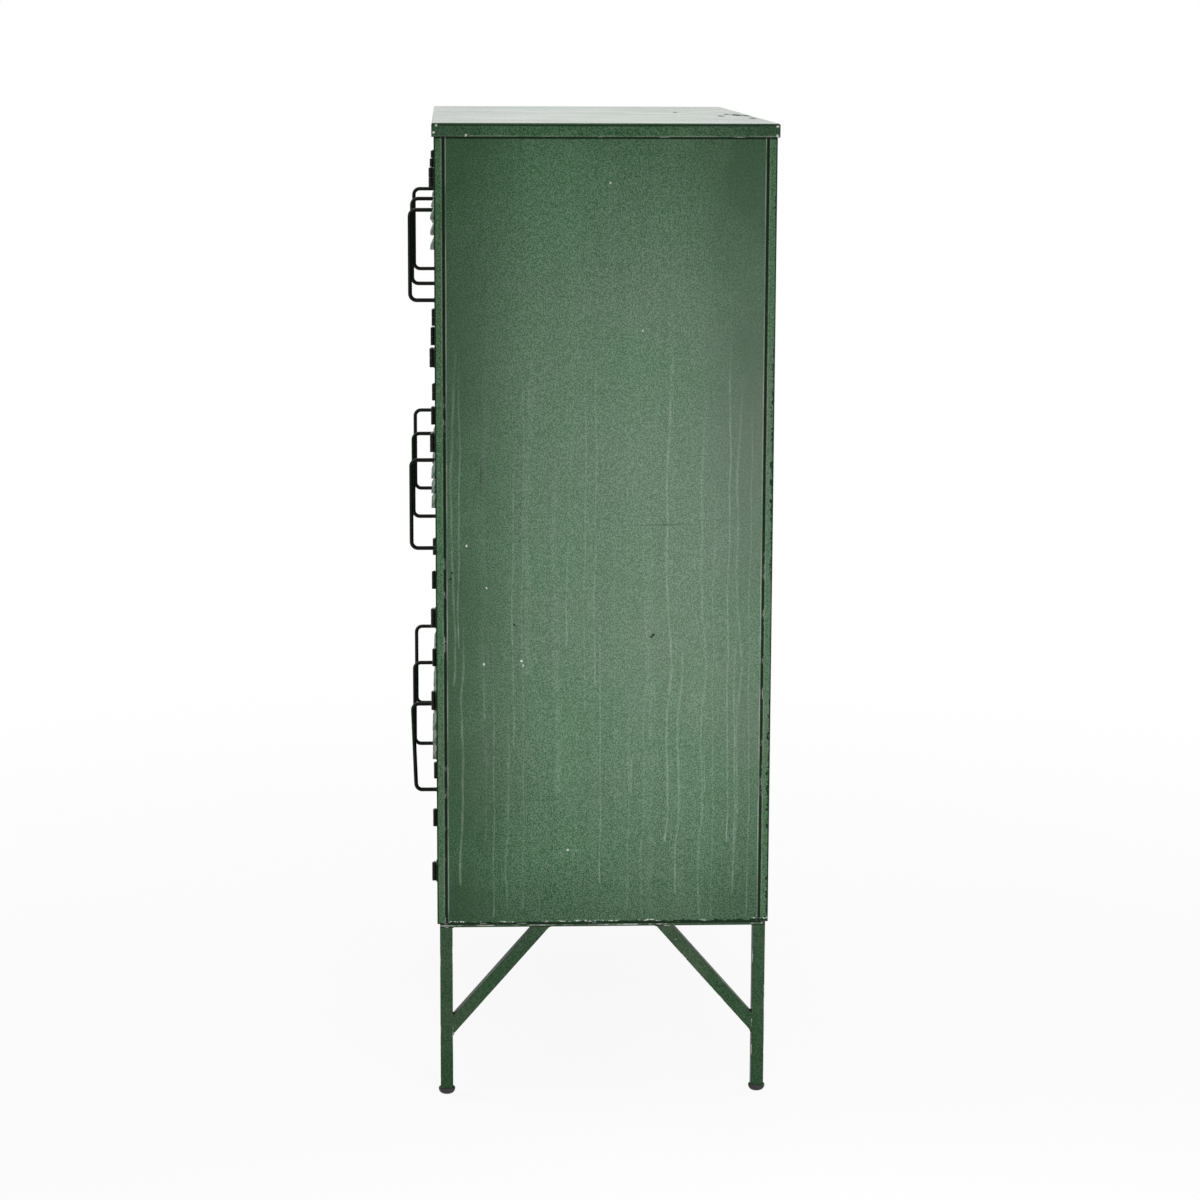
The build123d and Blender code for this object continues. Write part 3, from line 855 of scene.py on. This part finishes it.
def green_enamel(
    name, green, scene, marks, runs=0.0, gloss=0.2, rub=0.5, specks=0.5, roughness=0.45, across_wave=3.6
):
    """Old brushed enamel on sheet steel.

    The green is scaled by slow clouds and faint upright streaks and grained by fine peel, with a
    brown bloom, painted shade towards the sides' borders, water runs, dark and pale marks that hold
    painted shade and highlight as well as grime and wear, scattered chips, and wear on sharp edges.
    The sheet is a little wavy, by so many waves to the metre across the cabinet.
    """
    paint, wear = scene.cabinet_paint, scene.cabinet_wear
    finish = Finish(name)
    clouds = finish.noise(6.0, 4.0, 0.55)
    peel = finish.noise(PEEL, 1.0, 0.5)
    streaks = finish.noise(1.0, 3.0, 0.5, finish.stretched((60.0, 60.0, 1.4)))
    tone = finish.total(
        finish.ease(clouds, 0.25, 0.75, 0.70, 0.90), finish.ease(streaks, 0.25, 0.75, 0.16, 0.26)
    )
    grain = finish.ease(peel, 0.41, 0.59, -1.0, 1.0)
    body = finish.shifted(finish.scaled(green, tone), finish.product(grain, GRAIN_SHIFT * green[0]))
    bloom = finish.ease(finish.noise(4.3, 3.0, 0.6), 0.48, 0.75, 0.0, 0.22)
    body = finish.blend(bloom, body, paint.stain)
    wave = finish.noise(1.0, 1.0, vector=finish.stretched((across_wave, 3.6, 3.6)))
    relief = finish.math("MULTIPLY_ADD", wave, SHEET_WAVE / across_wave, finish.product(peel, PEEL_HEIGHT))
    if runs:
        # Painted shade: the sides turn darker and deeper green towards their borders
        body = finish.blend(shaded_borders(finish, wear), body, paint.border_shade_green)
        overlay = finish.most(*(
            finish.product(water_runs(finish, spacing, width, seed), strength)
            for spacing, width, seed, strength in RUNS
        ))
        body = finish.blend(finish.product(overlay, runs), body, paint.run_film)
        relief = finish.math("MULTIPLY_ADD", overlay, RUN_HEIGHT, relief)
    body = finish.scaled(body, finish.math("MULTIPLY_ADD", grain, GRAIN_SCALE, 1.0))

    ragged = finish.noise(240.0, 3.0, 0.65)
    old = finish.ease(finish.noise(40.0, 3.0), 0.58, 0.66)
    dark, pale = marks(finish, wear)
    chip, fresh = scattered_chips(finish, ragged, specks)
    edge = finish.product(finish.edges(1.5 * MM), finish.ease(ragged, 0.25, 0.70, 0.35, 1.5))
    rubbed = finish.ease(edge, 0.09 - 0.07 * rub, 0.16 - 0.07 * rub)
    # Dark marks: grime, rust and scratches, and painted shade in the joints, over the bends, under the lid,
    # above the base bars and on the louvre lips, with a painted dark reflection on the lid's bend
    body = finish.blend(finish.product(dark, 0.93), body, paint.dirt_and_shade)
    body = finish.blend(finish.product(rubbed, 0.8), body, finish.blend(old, paint.rust, paint.primer_and_highlight))
    # Pale marks: worn paint and scratches, and painted highlight beside the side joints and on the louvre
    # tips
    body = finish.blend(finish.product(pale, 0.75), body, paint.primer_and_highlight)
    body = finish.blend(chip, body, finish.blend(fresh, paint.rust, paint.primer_and_highlight))

    crust = finish.ease(dark, 0.5, 1.0)
    bare = finish.most(chip, rubbed, pale, crust)
    flaky = finish.product(crust, finish.ease(ragged, 0.35, 0.65))
    relief = finish.math("MULTIPLY_ADD", bare, -CHIP_DEPTH, relief)
    relief = finish.math("MULTIPLY_ADD", flaky, FLAKE_HEIGHT, relief)
    dull = finish.total(
        finish.ease(clouds, 0.3, 0.7, roughness - 0.05, roughness + 0.05),
        finish.product(bare, 0.25),
        finish.product(crust, 0.5),
    )
    finish.bump(relief)
    finish.set(Base_Color=body, Roughness=dull, Specular_IOR_Level=gloss)
    return finish.material


def dark_enamel(name, paint):
    """Near-black enamel on wire and hinges, rubbed brown and grey where hands and use touch it."""
    finish = Finish(name)
    clouds = finish.noise(70.0, 3.0, 0.6)
    scuffs = finish.noise(420.0, 3.0, 0.7, finish.stretched((1.0, 1.0, 0.35)))
    body = finish.scaled(paint.dark_enamel, finish.ease(clouds, 0.25, 0.75, 0.7, 1.5))
    rubbed = finish.product(finish.ease(scuffs, 0.58, 0.72), finish.ease(clouds, 0.4, 0.7), 0.25)
    body = finish.blend(rubbed, body, paint.pin_steel)
    body = finish.blend(finish.ease(finish.noise(160.0, 2.0), 0.60, 0.72, 0.0, 0.6), body, paint.rust)
    finish.bump(finish.product(scuffs, 0.06 * MM))
    dull = finish.ease(scuffs, 0.3, 0.7, 0.30, 0.55)
    finish.set(Base_Color=body, Roughness=dull, Specular_IOR_Level=0.14)
    return finish.material


def drawn_steel(name, paint):
    """Drawn pin steel, dulled by handling, with fine lines along the pin and specks of rust."""
    finish = Finish(name)
    lines = finish.noise(900.0, 2.0, 0.5, finish.stretched((1.0, 1.0, 0.05)))
    body = finish.scaled(paint.pin_steel, finish.ease(lines, 0.3, 0.7, 0.75, 1.15))
    spots = finish.ease(finish.noise(300.0, 3.0, 0.65), 0.55, 0.68, 0.0, 0.8)
    body = finish.blend(spots, body, paint.rust)
    finish.bump(finish.product(lines, 0.03 * MM))
    finish.set(Base_Color=body, Metallic=1.0, Roughness=finish.ease(lines, 0.3, 0.7, 0.28, 0.45))
    return finish.material


def black_plastic(name, paint, dust):
    """Moulded black plastic, finely grained, with floor dust and scuffs."""
    finish = Finish(name)
    grain = finish.noise(1500.0, 2.0)
    patches = finish.noise(180.0, 4.0, 0.65)
    body = finish.scaled(paint.black_plastic, finish.ease(grain, 0.3, 0.7, 0.8, 1.3))
    body = finish.blend(finish.ease(patches, 0.52, 0.78, 0.0, dust), body, paint.stain)
    finish.bump(finish.product(grain, 0.04 * MM))
    dull = finish.ease(patches, 0.3, 0.7, 0.36, 0.62)
    finish.set(Base_Color=body, Roughness=dull, Specular_IOR_Level=0.25)
    return finish.material


def finish_named(name):
    """A finish that an earlier operator made."""
    finish = bpy.data.materials.get(name)
    if finish is None:
        raise RuntimeError(f"the finish {name} is missing: run Finishes first")
    return finish


# Operators

class CABINET_OT_finishes(bpy.types.Operator):
    """Makes the enamels, steel and plastic and puts them on the CAD nodes"""

    bl_idname = "cabinet.finishes"
    bl_label = "Finishes"

    def execute(self, context):
        scene = context.scene
        paint = scene.cabinet_paint
        side = green_enamel(
            "side_enamel", paint.panel_green, scene, side_marks,
            runs=0.29, gloss=0.225, specks=0.4, roughness=0.33,
        )
        lid = green_enamel(
            "lid_enamel", paint.trim_green, scene, lid_marks,
            rub=0.75, specks=0.9, roughness=0.19, across_wave=40.0,
        )
        trim = green_enamel("trim_enamel", paint.trim_green, scene, carcass_marks, rub=0.6)
        door = green_enamel(
            "door_enamel", paint.trim_green, scene, door_marks, gloss=0.3, rub=0.7, specks=0.6
        )
        legs = green_enamel("frame_enamel", paint.frame_green, scene, bar_marks, gloss=0.17, rub=0.6)
        dark = dark_enamel("dark_enamel", paint)
        steel = drawn_steel("pin_steel", paint)
        glide = black_plastic("glide_plastic", paint, dust=0.5)
        catch = black_plastic("catch_plastic", paint, dust=0.15)
        # The first start that fits a node's name counts, and trim is for the rest
        by_start = {
            "side_panel": side, "lid": lid, "leg": legs, "base_bar": legs, "brace": legs,
            "hinge_pins": steel, "hinge": dark, "handle": dark,
            "door_magnets": catch, "door": door, "glides": glide,
        }
        for name, node in frame["nodes"].items():
            chosen = next((by_start[start] for start in by_start if name.startswith(start)), trim)
            node.data.materials.clear()
            node.data.materials.append(chosen)
        return {"FINISHED"}


class CABINET_OT_wire_handles(bpy.types.Operator):
    """Bends a round wire handle in place of each faceted one"""

    bl_idname = "cabinet.wire_handles"
    bl_label = "Wire handles"

    def execute(self, context):
        settings = context.scene.cabinet_handles
        leaning = {"bottom_right": settings.lean}
        for body in HINGES:
            key = door_key(body)
            low, high = (np.array(corner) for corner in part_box(f"handle_{key}"))
            foot = np.array([(low[0] + high[0]) / 2, high[1], (low[2] + high[2]) / 2])
            span = high[2] - low[2] - 2 * WIRE_RADIUS
            reach = high[1] - low[1]
            lean = leaning.get(key, 0.0)
            skin = wire_handle(foot, span, reach, WIRE_RADIUS, settings.bend, settings.collar, lean)
            piece = make_piece(f"wire_handle_{key}", skin, finish_named("dark_enamel"), body)
            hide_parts(f"handle_{key}")
        return {"FINISHED"}


class CABINET_OT_handle_screws(bpy.types.Operator):
    """Sets the slotted screws that hold each handle, behind its door"""

    bl_idname = "cabinet.handle_screws"
    bl_label = "Handle screws"

    def execute(self, context):
        settings = context.scene.cabinet_handles
        for body in HINGES:
            key = door_key(body)
            low, high = (np.array(corner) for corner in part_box(f"handle_{key}"))
            x = (low[0] + high[0]) / 2
            y = high[1] + settings.door_sheet
            places = np.array([[x, y, low[2] + WIRE_RADIUS], [x, y, high[2] - WIRE_RADIUS]])
            skin = screw_heads(places, settings.screw_radius, settings.screw_height)
            make_piece(f"handle_screws_{key}", skin, finish_named("pin_steel"), body)
        return {"FINISHED"}


class CABINET_OT_rolled_hinges(bpy.types.Operator):
    """Rolls the hinge leaves round their pins, on the posts and on the doors"""

    bl_idname = "cabinet.rolled_hinges"
    bl_label = "Rolled hinges"

    def execute(self, context):
        settings = context.scene.cabinet_hinges
        half = settings.leaf_length / 2
        dark = finish_named("dark_enamel")
        post_axes = []
        for body, axis in HINGES.items():
            key = door_key(body)
            low, high = (np.array(corner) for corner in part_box(f"hinge_leaves_{key}"))
            rise = np.array([0.0, 0.0, high[2] - half - axis[2]])
            axes = np.array([axis - rise, axis + rise])
            post_axes.append(axes)
            skin = rolled_leaves(
                axes, -1, axis[0] - low[0], high[1] - axis[1], settings.knuckle_gap / 2, settings
            )
            piece = make_piece(f"rolled_leaves_{key}", skin, dark, body)
            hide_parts(f"hinge_leaves_{key}")
        low, high = (np.array(corner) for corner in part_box("hinge_post_leaves"))
        axes = np.concatenate(post_axes)
        width = high[0] - axes[:, 0].max()
        skin = rolled_leaves(axes, 1, width, high[1] - axes[0, 1], -half, settings)
        piece = make_piece("rolled_post_leaves", skin, dark, "cabinet")
        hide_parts("hinge_post_leaves")
        return {"FINISHED"}


class CABINET_OT_glides(bpy.types.Operator):
    """Turns the four domed glides under the legs"""

    bl_idname = "cabinet.glides"
    bl_label = "Glides"

    def execute(self, context):
        settings = context.scene.cabinet_base
        legs = np.array([np.array(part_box(f"leg_{end}_{side}")) for end, side in CORNERS])
        places = legs.mean(axis=1)
        places[:, 2] = 0.0
        skin = domed_glides(places, LEG_BOTTOM, settings.glide_radius, settings.sole_radius)
        piece = make_piece("domed_glides", skin, finish_named("glide_plastic"), "cabinet")
        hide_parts("glides")
        return {"FINISHED"}


class CABINET_OT_weld_beads(bpy.types.Operator):
    """Lays weld beads in the corners of the legs, bars and braces"""

    bl_idname = "cabinet.weld_beads"
    bl_label = "Weld beads"

    def execute(self, context):
        settings = context.scene.cabinet_base
        starts, stops = [], []
        for end, side in CORNERS:
            leg_low, leg_high = (np.array(corner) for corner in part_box(f"leg_{end}_{side}"))
            low, high = (np.array(corner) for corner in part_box(f"brace_{end}_{side}"))
            inward = 1 if end == "front" else -1
            near, far = (low[1], high[1]) if inward > 0 else (high[1], low[1])
            slope = (high[1] - low[1]) / (high[2] - low[2])
            tube = leg_high[0] - leg_low[0]
            bar_share = tube * math.hypot(1, slope)
            leg_share = tube * math.hypot(1, 1 / slope)
            inner_x = leg_high[0] if side == "left" else leg_low[0]
            for y, z in (
                (near, high[2]),
                (far - inward * bar_share, high[2]),
                (far, high[2]),
                (near, low[2] + leg_share),
                (near, low[2]),
            ):
                starts.append([leg_low[0], y, z])
                stops.append([leg_high[0], y, z])
            starts.append([inner_x, leg_low[1], high[2]])
            stops.append([inner_x, leg_high[1], high[2]])
        skin = weld_beads(np.array(starts), np.array(stops), settings.bead_radius, settings.bead_pitch)
        make_piece("weld_beads", skin, finish_named("frame_enamel"), "cabinet")
        return {"FINISHED"}


class CABINET_OT_stage(bpy.types.Operator):
    """Sets the pale floor, the soft lamps, the white surroundings and the camera"""

    bl_idname = "cabinet.stage"
    bl_label = "Stage"

    FLOOR_RINGS = (0.01, 0.5, 1.0, 2.0, 4.0, 9.0, 20.0, 40.0)
    WHITE_FROM, WHITE_BY = 0.7, 2.4
    LAMPS = (
        # name, place, aim, width, height, watts
        ("key_softbox", (1.55, 0.25, 0.51), (0.4, 0.22, 0.53), 0.6, 0.85, 11.0),
        ("top_softbox", (0.2, -0.3, 3.2), (0.0, 0.0, 0.5), 2.2, 2.2, 18.0),
        ("front_softbox", (-0.6, -2.7, 3.0), (0.0, -0.2, 0.5), 1.8, 1.8, 34.5),
        ("rear_softbox", (-0.6, 2.7, 3.0), (0.0, 0.2, 0.5), 1.8, 1.8, 37.0),
        ("left_softbox", (-2.6, 0.2, 2.8), (-0.4, 0.0, 0.5), 1.6, 1.6, 24.0),
    )

    def seen_white(self, nodes, shader, white_kind, white_share):
        """Shows plain white to the camera and in reflections, by a share, and the shader to other light."""
        path = nodes.node("LightPath").outputs
        seen = nodes.most(path["Is Camera Ray"], path["Is Glossy Ray"], path["Is Transmission Ray"])
        white = nodes.node(white_kind, Color=WHITE, Strength=1.0)
        mix = nodes.node("MixShader", nodes.product(seen, white_share), shader.outputs[0], white.outputs[0])
        output = next(node for node in nodes.tree.nodes if node.type.startswith("OUTPUT"))
        nodes.join(output.inputs["Surface"], mix.outputs[0])

    def add_floor(self, settings):
        """A round floor of rings, which turns plain white away from the cabinet."""
        reach = np.array(self.FLOOR_RINGS)[:, None]
        around = circle(FLOOR_SIDES)
        level = np.zeros((reach.size, around.size))
        points = np.stack([reach * np.cos(around), reach * np.sin(around), level], axis=-1)
        here = np.arange(level.size).reshape(level.shape)
        beside = np.roll(here, -1, axis=1)
        walls = np.stack([here[:-1], here[1:], beside[1:], beside[:-1]], axis=-1).reshape(-1, 4)
        mesh = bpy.data.meshes.new("floor")
        mesh.from_pydata(points.reshape(-1, 3).tolist(), [], walls.tolist() + [here[0].tolist()])
        finish = Finish("pale_floor")
        finish.tree.nodes.remove(finish.shader)
        plain = finish.node("BsdfDiffuse", Color=settings.floor_colour)
        away = finish.node("VectorMath", finish.place, operation="LENGTH").outputs["Value"]
        white_share = finish.ease(away, self.WHITE_FROM, self.WHITE_BY, settings.floor_white, 1.0)
        self.seen_white(finish, plain, "Emission", white_share)
        mesh.materials.append(finish.material)
        floor = bpy.data.objects.new("floor", mesh)
        bpy.context.scene.collection.objects.link(floor)

    def add_lamp(self, name, place, aim, width, height, watts):
        """A softbox that the camera doesn't see."""
        lamp = bpy.data.lights.new(name, "AREA")
        lamp.shape = "RECTANGLE"
        lamp.size = width
        lamp.size_y = height
        lamp.energy = watts
        holder = bpy.data.objects.new(name, lamp)
        holder.location = place
        holder.rotation_euler = (Vector(aim) - Vector(place)).to_track_quat("-Z", "Y").to_euler()
        holder.visible_camera = False
        bpy.context.scene.collection.objects.link(holder)

    def execute(self, context):
        scene = context.scene
        settings = scene.cabinet_stage
        scene.view_settings.view_transform = "Standard"
        world = bpy.data.worlds.new("studio")
        world.use_nodes = True
        scene.world = world
        nodes = Nodes(world.node_tree)
        around = world.node_tree.nodes["Background"]
        nodes.join(around.inputs["Color"], WHITE)
        nodes.join(around.inputs["Strength"], settings.ambient)
        self.seen_white(nodes, around, "Background", 1.0)
        self.add_floor(settings)
        for lamp in self.LAMPS:
            self.add_lamp(*lamp)
        camera = bpy.data.cameras.new("camera")
        camera.sensor_width = SENSOR_WIDTH
        camera.lens = settings.camera_lens
        camera.dof.use_dof = False
        eye = bpy.data.objects.new("camera", camera)
        eye.location = settings.camera_place
        pitch, roll, yaw = settings.camera_turn
        eye.rotation_euler = (QUARTER - pitch, -roll, QUARTER - yaw)
        scene.collection.objects.link(eye)
        scene.camera = eye
        return {"FINISHED"}


STEPS = (
    CABINET_OT_finishes,
    CABINET_OT_wire_handles,
    CABINET_OT_handle_screws,
    CABINET_OT_rolled_hinges,
    CABINET_OT_glides,
    CABINET_OT_weld_beads,
    CABINET_OT_stage,
)


class CABINET_PT_panel(bpy.types.Panel):
    """Lists the steps that dress the cabinet"""

    bl_idname = "CABINET_PT_panel"
    bl_label = "Locker cabinet"
    bl_space_type = "VIEW_3D"
    bl_region_type = "UI"
    bl_category = "Cabinet"

    def draw(self, context):
        for step in STEPS:
            self.layout.operator(step.bl_idname)


SETTINGS = {
    "cabinet_paint": PaintSettings,
    "cabinet_wear": WearSettings,
    "cabinet_handles": HandleSettings,
    "cabinet_hinges": HingeSettings,
    "cabinet_base": BaseSettings,
    "cabinet_stage": StageSettings,
}


def register():
    for name, group in SETTINGS.items():
        bpy.utils.register_class(group)
        setattr(bpy.types.Scene, name, bpy.props.PointerProperty(type=group))
    for step in (*STEPS, CABINET_PT_panel):
        bpy.utils.register_class(step)


def unregister():
    for step in reversed((*STEPS, CABINET_PT_panel)):
        bpy.utils.unregister_class(step)
    for name, group in reversed(SETTINGS.items()):
        delattr(bpy.types.Scene, name)
        bpy.utils.unregister_class(group)


def main():
    register()
    for step in STEPS:
        group, action = step.bl_idname.split(".")
        getattr(getattr(bpy.ops, group), action)()


if __name__ == "__main__":
    main()
